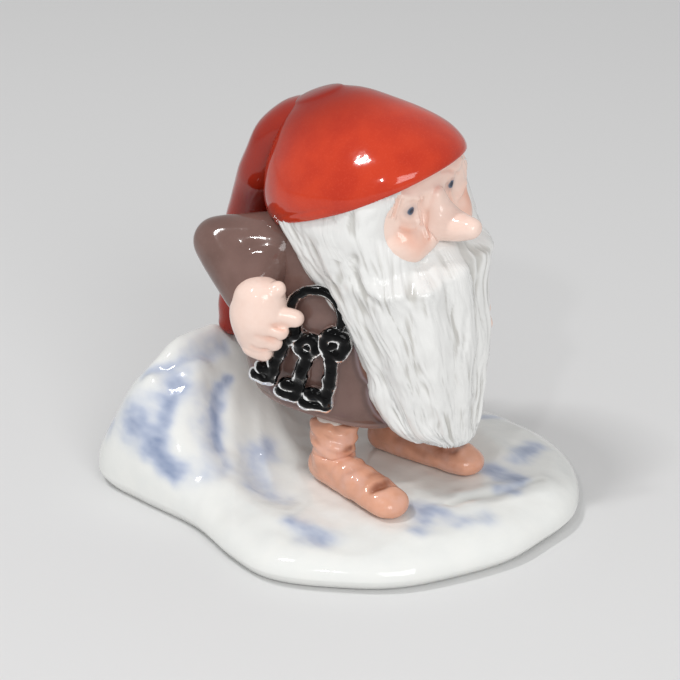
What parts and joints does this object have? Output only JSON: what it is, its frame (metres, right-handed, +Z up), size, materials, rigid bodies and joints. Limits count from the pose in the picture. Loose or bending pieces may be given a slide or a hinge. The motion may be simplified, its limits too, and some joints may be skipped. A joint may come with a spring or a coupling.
{
  "type": "christmas elf figurine",
  "caption": "Glazed porcelain elf with a long beard, cap and coat, standing on a bank of snow and holding a ring of keys, for a shelf or table.",
  "frame": {"origin": "on the table, under the middle of the figurine's bounding box", "axes": "+Z up; the elf faces -Y, its right hand is on the -X side, and the snow drift rises behind it on +Y"},
  "size_m": [0.0888, 0.1026, 0.0989],
  "materials": {
    "snow_glaze": "white porcelain under clear gloss glaze, with cobalt blue shading",
    "coat_glaze": "grey-brown underglaze colour under clear gloss glaze",
    "skin_glaze": "pale skin colour under clear gloss glaze, with warm cheeks",
    "beard_glaze": "off-white porcelain with fine strands under clear gloss glaze",
    "cap_glaze": "orange-red overglaze colour, glossy, thinner at the edges",
    "black_glaze": "black gloss glaze",
    "stocking_glaze": "cream under clear gloss glaze",
    "boot_glaze": "tan-orange underglaze colour with brown creases under clear gloss glaze"
  },
  "bodies": {
    "root": {"snow_base": "snow_glaze", "coat_body": "coat_glaze", "right_sleeve": "coat_glaze", "left_sleeve": "coat_glaze", "right_hand": "skin_glaze", "left_hand": "skin_glaze", "head": "skin_glaze", "beard": "beard_glaze", "cap_crown": "cap_glaze", "cap_tail": "cap_glaze", "key_ring": "black_glaze", "key_small": "black_glaze", "key_middle": "black_glaze", "key_large": "black_glaze", "right_stocking": "stocking_glaze", "left_stocking": "stocking_glaze", "right_boot_cuff": "boot_glaze", "left_boot_cuff": "boot_glaze", "right_boot": "boot_glaze", "left_boot": "boot_glaze"}
  },
  "joints": []
}
